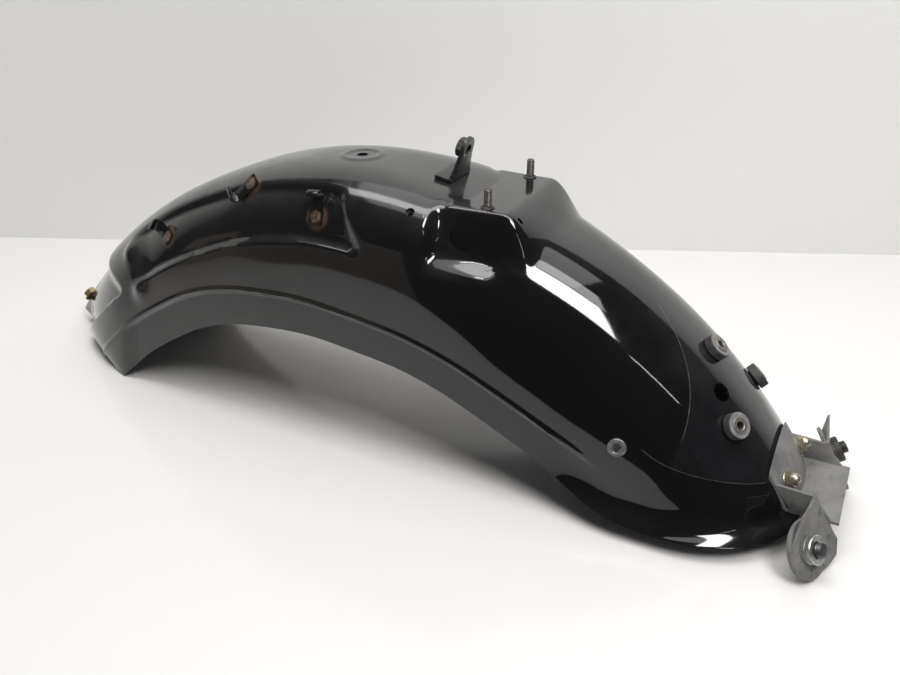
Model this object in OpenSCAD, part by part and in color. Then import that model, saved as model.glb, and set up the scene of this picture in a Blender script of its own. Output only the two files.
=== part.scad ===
// Rear mudguard of a motorcycle: one pressed steel shell with its clips,
// studs, lamp mountings and tail bracket. Millimetres, +X rearward, +Y to
// the right-hand side, +Z up, standing on the front corners and the bracket.

/* [Shell] */
// Radius of the crown line seen from the side
crown_r = 404; // [396:1:412]
// Half width of the shell at the middle of the arch
half_w = 77; // [72:1:82]
// Thickness of the steel sheet
sheet_t = 1.6; // [1.2:0.1:2.2]
// Inward step of the band along the lower edge
band_step = 2.6; // [1:0.1:4]
// Outward flare of the tail rim
rim_flare = 8.5; // [5:0.5:11]
// Depth of the recessed side panel
panel_depth = 4; // [2:0.5:6]
// Depth of the pocket below the stud platform
pocket_depth = 9; // [5:0.5:11]
// Inward step of the front tongue
tongue_step = 8; // [4:0.5:10]
// Drop of the stud platform below the top of the crown
platform_drop = 10.5; // [8:0.5:12]

/* [Openings] */
// Width of the oblong hole in the pocket
pocket_hole_w = 17; // [13:0.5:19]
// Length of the oblong hole in the pocket
pocket_hole_l = 20; // [19.5:0.5:25]
// Diameter of the wire hole beside the lamp mounting
wire_hole_d = 13.5; // [10:0.5:15]
// Diameter of the dished boss on the crown
dish_d = 34; // [30:1:40]
// Diameter of the hole in the dished boss
dish_hole_d = 9; // [6:0.5:12]

/* [Studs and tab] */
// Thread diameter of the two platform studs
stud_d = 6; // [5:0.5:8]
// Height of the platform studs above the platform
stud_l = 14; // [10:0.5:20]
// Distance between the two platform studs
stud_gap = 78; // [70:1:82]
// Height of the upright tab
tab_h = 31; // [26:0.5:38]
// Thickness of the tab plate
tab_t = 2.6; // [2:0.1:3.5]
// Diameter of the hole in the tab
tab_hole_d = 8; // [6.5:0.1:9]
// Bore of the welded nuts
weld_nut_bore = 5; // [4.5:0.1:6]

/* [Clips] */
// Width of a wire clip strap
clip_w = 10; // [7:0.5:12]
// Inner radius of a clip's curl
clip_r = 4.2; // [3:0.1:5]
// Thickness of the clip strap
clip_t = 1.2; // [0.8:0.1:1.6]

/* [Lamp mounting] */
// Outer diameter of a lamp grommet
grommet_d = 18.6; // [17:0.2:21]
// Height of a lamp grommet above its seat
grommet_h = 6.5; // [5:0.5:9]
// Bore of the metal sleeves in the grommets
sleeve_bore = 5.8; // [5:0.1:6.4]
// Outer diameter of the side insert
insert_d = 13; // [11:0.5:15]

/* [Tail bracket] */
// Thickness of the bracket plate
plate_t = 2.4; // [2:0.1:3]
// Half width of the bracket between its side flanges
web_half = 36; // [33:0.5:38]
// Reach of the bracket web behind the arch centre
web_end = 370; // [366:0.5:374]
// Diameter of the wing bolts
wing_bolt_d = 9.8; // [8:0.1:11]
// Outer diameter of the wing collars
collar_d = 19.4; // [17:0.2:22]
// Length of the wing collars
collar_l = 7.5; // [5:0.5:9]

/* [Hidden] */
$fn = 48;
origin_x = 15.29;
ks = crown_r / 404;
kw = half_w / 77;
zc = -188 * ks;
seat_up = 0.5;
seat_dn = 0.6;
play = 0.1;
keys = [
    [-60.0, 0, -227, 0, 72, 1.15],
    [-55.5, -2, -221, 6, 72.5, 1.45],
    [-50.5, -5, -210, 16, 73, 1.7],
    [-44.0, -8, -192, 32, 73.5, 1.95],
    [-36.0, -9, -163, 52, 74, 2.15],
    [-28.0, -8, -130, 71, 75, 2.4],
    [-20.0, -6, -96, 83, 76, 2.65],
    [-12.0, -2, -60, 89, 77, 3.0],
    [-4.0, 0, -22, 91, 77, 3.4],
    [4.0, 0, 18, 88, 78, 3.9],
    [11.0, 0, 58, 83, 79, 4.2],
    [17.0, 0, 92, 74, 80, 3.6],
    [23.0, 0, 122, 62, 81, 2.9],
    [30.0, 0, 152, 48, 81, 2.6],
    [37.0, 0, 180, 35, 81, 2.5],
    [43.0, 0, 201, 25, 80.5, 2.45],
    [48.0, 0, 218, 17.5, 80, 2.4],
    [52.0, 0, 232, 14, 80, 2.35],
    [55.0, 0, 242, 12.8, 80, 2.3],
    [57.2, -1, 249, 12.3, 80, 2.25],
    [58.6, -3.5, 254, 12, 80, 2.2],
    [59.6, -8, 262, 12, 80, 2.15]
];
nk = len(keys);
// Subdivision of each interval of the key sections
parts_u = [2, 2, 2, 2, 2, 2, 2, 2, 2, 3, 4, 4, 3, 2, 2, 2, 2, 2, 2, 2, 2];
us = concat([for (i = [0 : nk - 2]) for (j = [0 : parts_u[i] - 1]) i + j / parts_u[i]], [nk - 1]);
half_n = 19;
vs = [for (j = [-half_n : half_n]) j / half_n];

function smooth(a, b, x) = let (t = min(1, max(0, (x - a) / (b - a)))) t * t * (3 - 2 * t);

// A key row at a fraction between two rows, on a smooth curve through them
function key_at(u) =
    let (i = min(nk - 2, max(0, floor(u))), t = u - i)
    let (p1 = keys[i], p2 = keys[i + 1])
    let (p0 = i == 0 ? 2 * p1 - p2 : keys[i - 1])
    let (p3 = i == nk - 2 ? 2 * p2 - p1 : keys[i + 2])
    p1 + 0.5 * t * (p2 - p0 + t * (2 * p0 - 5 * p1 + 4 * p2 - p3 + t * (3 * (p1 - p2) + p3 - p0)));

// Plain surface point, its normal, crown angle, depth and height over the edge
function base_at(u, v) =
    let (k = key_at(u), r = crown_r + k[1] * ks)
    let (cx = r * sin(k[0]), cz = zc + r * cos(k[0]))
    let (ex = k[2] * ks, ez = k[3] * ks)
    let (dl = norm([ex - cx, ez - cz]), dx = (ex - cx) / dl, dz = (ez - cz) / dl)
    let (hw = k[4] * kw, n = k[5], s = sin(abs(v) * 90), c = max(0, cos(abs(v) * 90)))
    let (q = pow(pow(s, n) + pow(c, n), -1 / n), yy = q * s, hh = q * c, d = dl * (1 - hh))
    let (ga = pow(yy, n - 1) / hw, gb = pow(hh, n - 1) / dl, gl = norm([ga, gb]))
    let (k1 = key_at(max(0, u - 0.01)), k2 = key_at(min(nk - 1, u + 0.01)))
    let (tx = k2[2] - k1[2], tz = k2[3] - k1[3])
    let (h = dl * hh * abs(dx * tz - dz * tx) / norm([tx, tz]))
    [[cx + dx * d, sign(v) * hw * yy, cz + dz * d],
     [-dx * gb / gl, sign(v) * ga / gl, -dz * gb / gl], k[0], d, h];

// Pressed features as an offset along the normal
function press(p, a, d, h) =
    let (x = p[0] / ks, y = abs(p[1]) / kw, z = p[2] / ks)
    let (line = 29 - 3 * smooth(-150, 150, x), fade = 1 - smooth(175, 225, x))
    let (band = (1 - smooth(-2, 2, h - line)) * fade * smooth(-228, -205, x))
    let (ridge = 0.9 * exp(-pow((h - line - 2) / 2.2, 2)) * fade)
    let (flare = pow(min(1, max(0, 1 - h / 20)), 2) * smooth(150, 235, x))
    let (diag = x + (z - 169) * 0.64 - 24)
    let (panel = smooth(8, 14, d) * (1 - smooth(44, 50, d)) * (1 - smooth(-5, 5, diag)) * smooth(-38, -33, a))
    let (pocket = smooth(70, 84, x) * (1 - smooth(120, 136, x)) * smooth(165, 178, z)
        * (1 - smooth(199, 209, z)) * smooth(38, 56, y))
    let (tongue = (1 - smooth(-47.5, -44.5, a - 4 * smooth(0, 50, d))) * (1 - smooth(40, 48, d)))
    ridge - band_step * band + rim_flare * flare - panel_depth * panel - pocket_depth * pocket - tongue_step * tongue;

// Finished outer surface point and the plain normal
function skin(u, v) =
    let (b = base_at(u, v), m = u > 3 ? 1 : smooth(0, 20, abs(b[0][1])),
        q = b[0] + press(b[0], b[2], b[3], b[4]) * [b[1][0], m * b[1][1], b[1][2]])
    let (x = q[0] / ks, y = abs(q[1]) / kw)
    let (w = smooth(76, 84, x) * (1 - smooth(124, 152, x)) * (1 - smooth(44, 58, y)))
    let (top = zc + crown_r - platform_drop)
    [[q[0], q[1], q[2] + w * max(0, top - q[2])], b[1]];
function on(u, v) = skin(u, v)[0];

function unit(w) = w / norm(w);
// Placing frame on the outer surface: z square to it, x towards the tail
function frame_at(u, v) =
    let (e = 0.03, f = 0.012, a = on(u + e, v) - on(u - e, v))
    let (b = v == 0 ? [0, 1, 0] : on(u, v + f) - on(u, v - f))
    let (n = unit(cross(a, b)), xx = unit(a), yy = cross(n, xx), p = on(u, v))
    [[xx[0], yy[0], n[0], p[0]], [xx[1], yy[1], n[1], p[1]], [xx[2], yy[2], n[2], p[2]], [0, 0, 0, 1]];
module at(u, v, spin = 0) {
    multmatrix(frame_at(u, v)) rotate([0, 0, spin]) children();
}
module mirrored() {
    children();
    mirror([0, 1, 0]) children();
}
module place() {
    translate([-origin_x, 0, 0]) children();
}
module tube(r, bore, z0, z1) {
    difference() {
        translate([0, 0, z0]) cylinder(r = r, h = z1 - z0);
        translate([0, 0, z0 - 1]) cylinder(r = bore, h = z1 - z0 + 2);
    }
}
module disc(r, z0, z1) {
    translate([0, 0, z0]) cylinder(r = r, h = z1 - z0);
}

// Sheet between two offsets of the outer surface, over ranges of the grid
module sheet(i0, i1, j0, j1, low, high) {
    ni = i1 - i0 + 1;
    nj = j1 - j0 + 1;
    m = ni * nj;
    top = [for (i = [i0 : i1]) for (j = [j0 : j1]) let (s = skin(us[i], vs[j])) s[0] + high * s[1]];
    low_pts = [for (i = [i0 : i1]) for (j = [j0 : j1]) let (s = skin(us[i], vs[j])) s[0] + low * s[1]];
    quads = [for (i = [0 : ni - 2]) for (j = [0 : nj - 2]) [i * nj + j, i * nj + j + 1, (i + 1) * nj + j + 1, (i + 1) * nj + j]];
    up = [for (q = quads) for (f = [[q[0], q[1], q[2]], [q[0], q[2], q[3]]]) f];
    down = [for (q = quads) for (f = [[q[0], q[2], q[1]], [q[0], q[3], q[2]]]) [f[0] + m, f[1] + m, f[2] + m]];
    rim = concat([for (j = [0 : nj - 1]) j], [for (i = [1 : ni - 1]) i * nj + nj - 1],
        [for (j = [nj - 2 : -1 : 0]) (ni - 1) * nj + j], [for (i = [ni - 2 : -1 : 1]) i * nj]);
    nr = len(rim);
    wall = [for (k = [0 : nr - 1]) let (a = rim[k], b = rim[(k + 1) % nr]) for (f = [[a, b + m, b], [a, a + m, b + m]]) f];
    polyhedron(points = concat(top, low_pts), faces = concat(up, down, wall), convexity = 8);
}

// Stations of the fittings: section number and fraction across
tab_u = 9.69;
stud_u = 10.78;
slot_u = 11.43;
slot_v = -0.3;
dish_u = 8.24;
pad_u = 9.648;
pad_v = 0.44;
hole_u = 10.6;
hole_v = 0.452;
lamp_u = [14.72, 15.92, 15.92];
lamp_v = [0, -0.29, 0.29];
wire_u = 15.276;
wire_v = -0.205;
insert_u = 14.669;
insert_v = 0.723;
cap_u = 18.2;
cap_v = 0.185;
front_u = 0.6;
clip_u = [4.973, 6.9, 8.198];
clip_v = [-0.494, -0.365, -0.539];
clip_spin = [130, 215, 90];
clip_foot = 12;
neck_r = 6.4;
sleeve_r = sleeve_bore / 2 + 1.3;
stud_land_r = 8;
cap_land_r = 7.5;
cap_hole_r = 3.3;
tab_foot_w = 34;
tab_foot_l = 14;

module land(r) {
    disc(r, -sheet_t - seat_dn, seat_up);
}
module stud_spot() {
    translate(on(stud_u, 0)) translate([0, stud_gap / 2, 0]) children();
}

module shell_lands() {
    at(dish_u, 0) disc(dish_d / 2, -sheet_t - 0.4, 1);
    mirrored() stud_spot() disc(stud_land_r, -sheet_t - seat_dn, seat_up);
    at(tab_u, 0) translate([-tab_foot_l / 2 - 1, -tab_foot_w / 2 - 1, -sheet_t - seat_dn])
        cube([tab_foot_l + 2, tab_foot_w + 2, sheet_t + seat_dn + seat_up]);
    mirrored() at(pad_u, pad_v) land(8.5);
    for (i = [0 : 2]) at(clip_u[i], clip_v[i]) land(clip_foot * 0.5 + 3);
    for (i = [0 : 2]) at(lamp_u[i], lamp_v[i]) land(grommet_d / 2 + 1);
    mirrored() at(insert_u, insert_v) land(insert_d / 2 + 1);
    mirrored() at(cap_u, cap_v) disc(cap_land_r, -sheet_t - seat_dn - 0.8, -0.4);
    at(front_u, 0) land(9);
}
// Outline of a slot with round ends
function oval(l, w, n) = [for (i = [0 : n - 1]) let (t = (i + 0.5) * 360 / n)
    [cos(t) * w / 2 + sign(cos(t)) * (l - w) / 2, sin(t) * w / 2]];
module shell_holes() {
    at(dish_u, 0) disc(dish_d / 2 - 5, 0.1, 6);
    at(dish_u, 0) disc(dish_hole_d / 2, -6, 3);
    mirrored() at(pad_u, pad_v) disc(weld_nut_bore / 2 + 0.8, -6, 6);
    mirrored() at(hole_u, hole_v) translate([0, 0, -10]) linear_extrude(20) polygon(oval(pocket_hole_l, pocket_hole_w, 36));
    at(slot_u, slot_v) translate([0, 0, -5]) linear_extrude(10) polygon(oval(5.4, 3.2, 16));
    at(wire_u, wire_v) disc(wire_hole_d / 2, -8, 8);
    for (i = [0 : 2]) at(lamp_u[i], lamp_v[i]) disc(neck_r + play, -8, 8);
    mirrored() at(insert_u, insert_v) disc(insert_d / 2 - 2, -6, 6);
    mirrored() at(cap_u, cap_v) disc(cap_hole_r, -6, 6);
    at(front_u, 0) disc(3.2, -8, 8);
}
module mudguard_shell() {
    color([0.05, 0.05, 0.055]) place() difference() {
        union() {
            sheet(0, len(us) - 1, 0, 2 * half_n, -sheet_t, 0);
            shell_lands();
        }
        shell_holes();
    }
}

module platform_stud() {
    stud_spot() {
        disc(stud_d / 2, seat_up + 1.7, stud_l - 0.8);
        translate([0, 0, stud_l - 0.8]) cylinder(r1 = stud_d / 2, r2 = stud_d / 2 - 0.8, h = 0.8);
    }
    stud_spot() disc(stud_land_r - 1.2, seat_up, seat_up + 1.2);
    stud_spot() disc(stud_d / 2 + 0.8, seat_up + 1, seat_up + 2);
}
module stud_left() {
    color([0.35, 0.28, 0.24]) place() mirror([0, 1, 0]) platform_stud();
}
module stud_right() {
    color([0.35, 0.33, 0.32]) place() platform_stud();
}

module seat_tab() {
    color([0.07, 0.07, 0.07]) place() at(tab_u, 0) translate([0, 0, seat_up]) {
        translate([-tab_foot_l / 2, -tab_foot_w / 2, 0]) cube([tab_foot_l, tab_foot_w, tab_t]);
        translate([tab_foot_l / 2 - tab_t, 0, tab_t / 2]) rotate([0, 6, 0]) difference() {
            union() {
                rotate([90, 0, 90]) linear_extrude(tab_t)
                    polygon([[-16, 0], [16, 0], [13.5, 5], [9.4, tab_h - 9.5], [-9.4, tab_h - 9.5], [-13.5, 5]]);
                translate([0, 0, tab_h - 9.5]) rotate([0, 90, 0]) cylinder(r = 9.5, h = tab_t);
            }
            translate([-1, 0, tab_h - 9.5]) rotate([0, 90, 0]) cylinder(r = tab_hole_d / 2, h = tab_t + 2);
        }
    }
}
module seat_tab_nut() {
    color([0.2, 0.19, 0.18]) place() at(tab_u, 0) translate([tab_foot_l / 2 - tab_t, 0, seat_up + tab_t / 2])
        rotate([0, 6, 0]) translate([0, 0, tab_h - 9.5]) rotate([0, -90, 0]) difference() {
            cylinder(r = 7.4, h = 5, $fn = 6);
            translate([0, 0, -1]) cylinder(r = tab_hole_d / 2 - 1, h = 7);
        }
}

module wire_clip(i) {
    color([0.1, 0.09, 0.09]) place() at(clip_u[i], clip_v[i], clip_spin[i]) translate([0, 0, seat_up]) {
        f = clip_foot / 2;
        ro = clip_r + clip_t;
        translate([-f, -f, 0]) cube([clip_foot, clip_foot, clip_t]);
        translate([f - 1, -clip_w / 2, 0]) cube([9, clip_w, clip_t]);
        translate([f + 8, clip_w / 2, ro]) rotate([90, 0, 0]) difference() {
            cylinder(r = ro, h = clip_w);
            translate([0, 0, -1]) cylinder(r = clip_r, h = clip_w + 2);
            translate([-2 * ro, -clip_r - 0.2, -1]) cube([2 * ro, ro + clip_r * 0.9, clip_w + 2]);
        }
    }
}
module wire_clip_front() {
    wire_clip(0);
}
module wire_clip_middle() {
    wire_clip(1);
}
module wire_clip_rear() {
    wire_clip(2);
}

// The nuts sit back far enough to clear the curved sheet
pad_nut_back = 0.5;
module pad_nut() {
    low = -sheet_t - seat_dn - pad_nut_back;
    at(pad_u, pad_v) tube(5, weld_nut_bore / 2, low - 5, low);
}
module pad_nut_left() {
    color([0.25, 0.24, 0.23]) place() mirror([0, 1, 0]) pad_nut();
}
module pad_nut_right() {
    color([0.25, 0.24, 0.23]) place() pad_nut();
}

module lamp_grommet(i) {
    color([0.03, 0.03, 0.03]) place() at(lamp_u[i], lamp_v[i]) {
        r = grommet_d / 2;
        b = sleeve_r + play / 2;
        tube(r, b, seat_up, seat_up + grommet_h);
        tube(neck_r, b, -sheet_t - seat_dn - 1, seat_up + 1);
        tube(r - 1.7, b, -sheet_t - seat_dn - 3.4, -sheet_t - seat_dn);
    }
}
module lamp_grommet_top() {
    lamp_grommet(0);
}
module lamp_grommet_left() {
    lamp_grommet(1);
}
module lamp_grommet_right() {
    lamp_grommet(2);
}
module lamp_sleeve(i) {
    color([0.6, 0.58, 0.54]) place() at(lamp_u[i], lamp_v[i]) {
        top = seat_up + grommet_h;
        tube(sleeve_r, sleeve_bore / 2, -sheet_t - seat_dn - 3.4, top + 0.8);
        tube(sleeve_r + 1.6, sleeve_bore / 2, top, top + 0.8);
    }
}
module lamp_sleeve_top() {
    lamp_sleeve(0);
}
module lamp_sleeve_left() {
    lamp_sleeve(1);
}
module lamp_sleeve_right() {
    lamp_sleeve(2);
}

module side_insert() {
    at(insert_u, insert_v) {
        tube(insert_d / 2, insert_d / 2 - 2.6, seat_up, seat_up + 1.6);
        tube(insert_d / 2 - 2 - play, insert_d / 2 - 3.4, -sheet_t - seat_dn, seat_up + 0.8);
    }
}
module side_insert_left() {
    color([0.25, 0.25, 0.26]) place() mirror([0, 1, 0]) side_insert();
}
module side_insert_right() {
    color([0.25, 0.25, 0.26]) place() side_insert();
}

// Section number where the surface at a fraction across meets a height
function find_u(v, z, a = 16, b = 21, n = 24) =
    n == 0 ? (a + b) / 2 : let (m = (a + b) / 2) on(m, v)[2] > z ? find_u(v, z, m, b, n - 1) : find_u(v, z, a, m, n - 1);

// Corners of a wing on its plane, and the bend line to its upper spike
wing_c = [353 * ks, 62, 17.8];
fold_a = [350 * ks, web_half, 42];
fold_b = [364 * ks, web_half, 18];
wing_n = unit(cross(fold_b - fold_a, wing_c - fold_a));
wing_e = unit([-wing_n[1], wing_n[0], 0]);
wing_f = cross(wing_n, wing_e);
wing_m = [[wing_e[0], wing_f[0], wing_n[0], wing_c[0]], [wing_e[1], wing_f[1], wing_n[1], wing_c[1]],
    [wing_e[2], wing_f[2], wing_n[2], wing_c[2]], [0, 0, 0, 1]];
lug_r = 20;
saddle_i = 37;
function flat(p) = [(p - wing_c) * wing_e, (p - wing_c) * wing_f];

module wing() {
    multmatrix(wing_m) difference() {
        union() {
            cylinder(r = lug_r, h = plate_t);
            linear_extrude(plate_t) polygon([flat(fold_a) - [2.2, 0], flat(fold_b) - [2.2, 0], [-33, -7], [-27, -16],
                [-16, -18.5], [0, -lug_r + 1], [lug_r - 1, 0], [lug_r - 2.5, 8]]);
        }
        translate([0, 0, -1]) cylinder(r = wing_bolt_d / 2 + play, h = plate_t + 2);
    }
}
// Upper spike of a wing, bent back from the plane of its lug
module wing_spike() {
    spike = [347 * ks, 68, 46];
    out = wing_c + (lug_r - 2) * wing_e + 4 * wing_f;
    pts = [fold_a - 1.5 * wing_e - 2 * wing_f, out, spike];
    low = [for (p = pts) p + 0.3 * wing_n];
    high = [for (p = pts) p + (plate_t - 0.3) * wing_n];
    polyhedron(points = concat(low, high), faces = [[0, 1, 2], [5, 4, 3], [0, 3, 4], [0, 4, 1], [1, 4, 5],
        [1, 5, 2], [2, 5, 3], [2, 3, 0]]);
}

module bracket_saddle() {
    intersection() {
        sheet(saddle_i, len(us) - 1, half_n - 9, half_n + 9, 0, plate_t);
        translate([321 * ks, 0.3 - web_half, 25]) cube([40, 2 * web_half - 0.6, 60]);
    }
}
module bracket_web() {
    difference() {
        translate([0, 0, 24]) linear_extrude(plate_t) polygon(concat(
            [for (v = [-0.32 : 0.04 : 0.321]) let (p = on(find_u(v, 25), v)) [p[0] + 1.1, p[1]]],
            [[web_end, 60], [web_end, -60]]));
        mirrored() translate([300, web_half - 0.3, 0]) cube([100, 60, 100]);
    }
}
module bracket_flange() {
    translate([0, web_half, 0]) rotate([90, 0, 0]) linear_extrude(plate_t)
        polygon([[324.7 * ks, 43], [350 * ks, 42], [366 * ks, 24.6], [339.8 * ks, 24.6]]);
}
module tail_bracket() {
    color([0.3, 0.3, 0.29]) place() difference() {
        union() {
            union() {
                bracket_web();
                mirrored() bracket_flange();
                mirrored() wing();
                mirrored() wing_spike();
            }
            bracket_saddle();
            mirrored() at(cap_u, cap_v) disc(cap_land_r, 0.3, plate_t + seat_up);
        }
        mirrored() at(cap_u, cap_v) disc(cap_hole_r, -6, 8);
    }
}

module cap_nut() {
    at(cap_u, cap_v) translate([0, 0, plate_t + seat_up]) {
        difference() {
            union() {
                cylinder(r = 5.77, h = 5, $fn = 6);
                disc(6.6, 0, 1);
                translate([0, 0, 5]) rotate_extrude() intersection() {
                    translate([0, 0]) circle(r = 4.6);
                    square([5, 5]);
                }
            }
            disc(cap_hole_r - 0.2, -1, 6);
        }
    }
}
module cap_nut_left() {
    color([0.6, 0.55, 0.42]) place() mirror([0, 1, 0]) cap_nut();
}
module cap_nut_right() {
    color([0.6, 0.55, 0.42]) place() cap_nut();
}
module cap_stud() {
    at(cap_u, cap_v) {
        disc(cap_hole_r - 0.3, -sheet_t - seat_dn - 0.8, plate_t + seat_up + 5.5);
        disc(6, -sheet_t - seat_dn - 3, -sheet_t - seat_dn - 0.8);
    }
}
module cap_stud_left() {
    color([0.4, 0.4, 0.4]) place() mirror([0, 1, 0]) cap_stud();
}
module cap_stud_right() {
    color([0.4, 0.4, 0.4]) place() cap_stud();
}

module wing_bolt() {
    multmatrix(wing_m) {
        disc(wing_bolt_d / 2, -9, plate_t);
        disc(wing_bolt_d / 2 - 0.2, plate_t - 1, plate_t + collar_l + 0.6);
        disc(wing_bolt_d / 2, plate_t + collar_l + 0.1, plate_t + collar_l + 3.5);
        translate([0, 0, plate_t + collar_l + 3.5])
            cylinder(r1 = wing_bolt_d / 2, r2 = wing_bolt_d / 2 - 1, h = 1);
    }
}
module wing_bolt_left() {
    color([0.3, 0.3, 0.3]) place() mirror([0, 1, 0]) wing_bolt();
}
module wing_bolt_right() {
    color([0.3, 0.3, 0.3]) place() wing_bolt();
}
module wing_collar() {
    multmatrix(wing_m) tube(collar_d / 2, wing_bolt_d / 2 + play, plate_t, plate_t + collar_l);
}
module wing_collar_left() {
    color([0.7, 0.7, 0.7]) place() mirror([0, 1, 0]) wing_collar();
}
module wing_collar_right() {
    color([0.7, 0.7, 0.7]) place() wing_collar();
}
module wing_nut() {
    multmatrix(wing_m) difference() {
        translate([0, 0, -5]) cylinder(r = wing_bolt_d / 2 + 4.6, h = 5, $fn = 6);
        translate([0, 0, -6]) cylinder(r = wing_bolt_d / 2 + play, h = 8);
    }
}
module wing_nut_left() {
    color([0.25, 0.25, 0.25]) place() mirror([0, 1, 0]) wing_nut();
}
module wing_nut_right() {
    color([0.25, 0.25, 0.25]) place() wing_nut();
}

module front_bolt() {
    color([0.6, 0.5, 0.25]) place() at(front_u, 0) {
        disc(2.9, -sheet_t - seat_dn - 8, seat_up + 2);
        translate([0, 0, seat_up + 1.4]) cylinder(r = 5.77, h = 4.5, $fn = 6);
        disc(7.5, seat_up, seat_up + 1.4);
    }
}
front_nut_back = 1.2;
module front_nut() {
    color([0.2, 0.2, 0.2]) place() at(front_u, 0) difference() {
        translate([0, 0, -sheet_t - seat_dn - front_nut_back - 5]) cylinder(r = 6.4, h = 5, $fn = 6);
        disc(3, -14, 2);
    }
}

mudguard_shell();
stud_left();
stud_right();
seat_tab();
seat_tab_nut();
wire_clip_front();
wire_clip_middle();
wire_clip_rear();
pad_nut_left();
pad_nut_right();
lamp_grommet_top();
lamp_grommet_left();
lamp_grommet_right();
lamp_sleeve_top();
lamp_sleeve_left();
lamp_sleeve_right();
side_insert_left();
side_insert_right();
tail_bracket();
cap_nut_left();
cap_nut_right();
cap_stud_left();
cap_stud_right();
wing_bolt_left();
wing_bolt_right();
wing_collar_left();
wing_collar_right();
wing_nut_left();
wing_nut_right();
front_bolt();
front_nut();
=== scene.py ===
# %% [markdown]
# # A pressed steel rear mudguard, step by step
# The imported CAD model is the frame: it fixes every size and place. This
# script dresses it. The big pressing is drawn again from the same rule as the
# CAD solid, but on a much finer grid, so that the gloss paint runs over
# smooth curves. The small fittings are turned, bent and threaded pieces that
# sit on stations of that same surface.

# %% Load the frame
import math

import bmesh
import bpy
import numpy as np
from mathutils import Matrix, Vector


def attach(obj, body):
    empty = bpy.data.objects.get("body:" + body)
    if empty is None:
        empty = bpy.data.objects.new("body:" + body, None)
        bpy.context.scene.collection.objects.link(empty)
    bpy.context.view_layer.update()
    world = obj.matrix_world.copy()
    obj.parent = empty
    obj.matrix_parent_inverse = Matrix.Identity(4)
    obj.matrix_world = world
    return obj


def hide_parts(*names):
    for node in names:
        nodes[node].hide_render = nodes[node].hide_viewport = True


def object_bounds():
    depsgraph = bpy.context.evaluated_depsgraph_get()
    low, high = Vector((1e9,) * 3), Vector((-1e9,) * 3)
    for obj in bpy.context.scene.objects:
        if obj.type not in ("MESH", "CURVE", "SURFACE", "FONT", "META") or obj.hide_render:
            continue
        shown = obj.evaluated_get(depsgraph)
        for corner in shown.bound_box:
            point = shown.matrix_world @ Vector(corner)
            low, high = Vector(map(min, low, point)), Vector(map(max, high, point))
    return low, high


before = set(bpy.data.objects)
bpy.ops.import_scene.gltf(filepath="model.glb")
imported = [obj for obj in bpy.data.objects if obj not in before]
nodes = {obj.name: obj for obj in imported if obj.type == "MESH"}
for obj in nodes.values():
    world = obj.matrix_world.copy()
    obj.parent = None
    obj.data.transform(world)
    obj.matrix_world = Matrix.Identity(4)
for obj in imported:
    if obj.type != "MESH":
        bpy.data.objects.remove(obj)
cad_box = [list(corner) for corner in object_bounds()]
MM = 0.001
print("CAD box in metres:", cad_box)

# %% [markdown]
# ## The rule of the pressing
# A drawn mudguard is a family of U sections that fan out from the wheel
# centre. Each row below is one section: the crown angle in degrees, how far
# the crown sits inside the plain circle, where the lower edge is, the half
# width, and how square the section is. A smooth curve runs through the rows,
# so a section can be asked for anywhere between them.

# %% Key sections and the smooth curve through them
ORIGIN_X = 15.29
CROWN_R = 404.0
CROWN_Z = -188.0
SHEET_T = 1.6
SEAT_UP = 0.5
SEAT_DOWN = SHEET_T + 0.6
KEYS = np.array([
    [-60.0, 0, -227, 0, 72, 1.15],
    [-55.5, -2, -221, 6, 72.5, 1.45],
    [-50.5, -5, -210, 16, 73, 1.7],
    [-44.0, -8, -192, 32, 73.5, 1.95],
    [-36.0, -9, -163, 52, 74, 2.15],
    [-28.0, -8, -130, 71, 75, 2.4],
    [-20.0, -6, -96, 83, 76, 2.65],
    [-12.0, -2, -60, 89, 77, 3.0],
    [-4.0, 0, -22, 91, 77, 3.4],
    [4.0, 0, 18, 88, 78, 3.9],
    [11.0, 0, 58, 83, 79, 4.2],
    [17.0, 0, 92, 74, 80, 3.6],
    [23.0, 0, 122, 62, 81, 2.9],
    [30.0, 0, 152, 48, 81, 2.6],
    [37.0, 0, 180, 35, 81, 2.5],
    [43.0, 0, 201, 25, 80.5, 2.45],
    [48.0, 0, 218, 17.5, 80, 2.4],
    [52.0, 0, 232, 14, 80, 2.35],
    [55.0, 0, 242, 12.8, 80, 2.3],
    [57.2, -1, 249, 12.3, 80, 2.25],
    [58.6, -3.5, 254, 12, 80, 2.2],
    [59.6, -8, 262, 12, 80, 2.15],
])
LAST = len(KEYS) - 1


def smooth(a, b, x):
    """0 below a, 1 above b, and an S curve between them."""
    t = np.clip((x - a) / (b - a), 0, 1)
    return t * t * (3 - 2 * t)


def key_at(u):
    """The key row at a fraction between two rows."""
    u = np.asarray(u, float)
    i = np.clip(np.floor(u).astype(int), 0, LAST - 1)
    t = (u - i)[..., None]
    p1, p2 = KEYS[i], KEYS[i + 1]
    p0 = np.where((i == 0)[..., None], 2 * p1 - p2, KEYS[np.clip(i - 1, 0, LAST)])
    p3 = np.where((i == LAST - 1)[..., None], 2 * p2 - p1, KEYS[np.clip(i + 2, 0, LAST)])
    square = 2 * p0 - 5 * p1 + 4 * p2 - p3
    cube = 3 * (p1 - p2) + p3 - p0
    return p1 + 0.5 * t * (p2 - p0 + t * (square + t * cube))


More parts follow.
